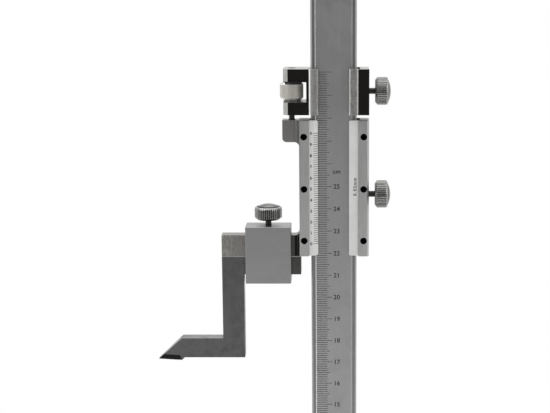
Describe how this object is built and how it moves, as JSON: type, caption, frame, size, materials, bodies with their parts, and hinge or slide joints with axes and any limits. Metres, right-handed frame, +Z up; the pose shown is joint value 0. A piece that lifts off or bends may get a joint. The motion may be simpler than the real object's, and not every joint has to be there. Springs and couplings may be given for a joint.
{
  "type": "vernier height gauge",
  "caption": "Vernier height gauge: graduated beam on a lapped base, slider with vernier plate, fine-adjustment carrier, clamp screws and a cranked carbide-tipped scriber.",
  "frame": {"origin": "on the lapped sole of the base, straight below the middle of the beam", "axes": "+Z up along the beam, the scale faces -Y, the scriber points to -X"},
  "size_m": [0.1525, 0.072, 0.4002],
  "materials": {
    "base_enamel": "grey hammered enamel on cast iron, lapped sole and ground pad bare",
    "beam_steel": "hardened steel, satin chrome scale face, ground guide rails",
    "slider_steel": "ground and satin chromed",
    "satin_plate": "pearl chrome, matt white",
    "black_screw": "black oxide",
    "gib_bronze": "bronze, machined",
    "thread_steel": "rolled thread, oiled",
    "knob_steel": "nickel plated, straight knurl",
    "carrier_black": "blackened front faces, bare ground edges and lips",
    "nut_nickel": "satin nickel, fine knurl",
    "box_steel": "satin chrome",
    "scriber_steel": "hardened and ground, dark oiled steel",
    "carbide": "ground cemented carbide"
  },
  "bodies": {
    "base": {"base_casting": "base_enamel", "beam": "beam_steel", "beam_screws": "black_screw", "beam_stop_screw": "black_screw"},
    "slider": {"slider_frame": "slider_steel", "vernier_plate": "satin_plate", "right_face_plate": "satin_plate", "vernier_plate_screws": "black_screw", "right_plate_screws": "black_screw", "slider_gib": "gib_bronze", "adjusting_rod": "thread_steel"},
    "slider_pad": {"slider_clamp_pad": "gib_bronze"},
    "slider_screw": {"slider_clamp_stud": "thread_steel", "slider_clamp_knob": "knob_steel"},
    "carrier": {"carrier_body": "carrier_black", "carrier_gib": "gib_bronze"},
    "carrier_pad": {"carrier_clamp_pad": "gib_bronze"},
    "carrier_screw": {"carrier_clamp_stud": "thread_steel", "carrier_clamp_knob": "knob_steel"},
    "nut": {"adjusting_nut": "nut_nickel"},
    "clamp_box": {"scriber_clamp_box": "box_steel"},
    "box_pad": {"box_clamp_pad": "gib_bronze"},
    "box_screw": {"box_clamp_stud": "thread_steel", "box_clamp_knob": "knob_steel"},
    "scriber": {"scriber": "scriber_steel", "carbide_tip": "carbide"}
  },
  "joints": [
    {"name": "slider_lift", "type": "slide", "parent": "base", "child": "slider", "axis": [0, 0, 1], "range_m": [-0.2246, 0.0254]},
    {"name": "carrier_lift", "type": "slide", "parent": "slider", "child": "carrier", "axis": [0, 0, 1], "range_m": [-0.0018, 0.006]},
    {"name": "nut_turn", "type": "hinge", "parent": "carrier", "child": "nut", "pos_m": [-0.0183, 0.001, 0.34539], "axis": [0, 0, 1], "range_deg": [-1300, 4325]},
    {"name": "slider_pad_travel", "type": "slide", "parent": "slider", "child": "slider_pad", "axis": [1, 0, 0], "range_m": [0, 0.001]},
    {"name": "slider_screw_turn", "type": "hinge", "parent": "slider_pad", "child": "slider_screw", "pos_m": [0.012, 0, 0.30001], "axis": [1, 0, 0], "range_deg": [0, 720]},
    {"name": "carrier_pad_travel", "type": "slide", "parent": "carrier", "child": "carrier_pad", "axis": [1, 0, 0], "range_m": [0, 0.001]},
    {"name": "carrier_screw_turn", "type": "hinge", "parent": "carrier_pad", "child": "carrier_screw", "pos_m": [0.012, 0, 0.34539], "axis": [1, 0, 0], "range_deg": [0, 720]},
    {"name": "box_slide", "type": "slide", "parent": "slider", "child": "clamp_box", "axis": [1, 0, 0], "range_m": [-0.0008, 0.0015]},
    {"name": "box_pad_travel", "type": "slide", "parent": "clamp_box", "child": "box_pad", "axis": [0, 0, 1], "range_m": [0, 0.001]},
    {"name": "box_screw_turn", "type": "hinge", "parent": "box_pad", "child": "box_screw", "pos_m": [-0.029, 0.001, 0.287], "axis": [0, 0, 1], "range_deg": [0, 720]},
    {"name": "scriber_slide", "type": "slide", "parent": "slider", "child": "scriber", "axis": [1, 0, 0], "range_m": [-0.015, 0]}
  ],
  "couplings": [
    {"joint": "nut_turn", "follows": "carrier_lift", "rad_per_m": 12566},
    {"joint": "slider_pad_travel", "follows": "slider_screw_turn", "m_per_rad": 0.000079577},
    {"joint": "carrier_pad_travel", "follows": "carrier_screw_turn", "m_per_rad": 0.000079577},
    {"joint": "box_pad_travel", "follows": "box_screw_turn", "m_per_rad": 0.000079577}
  ]
}
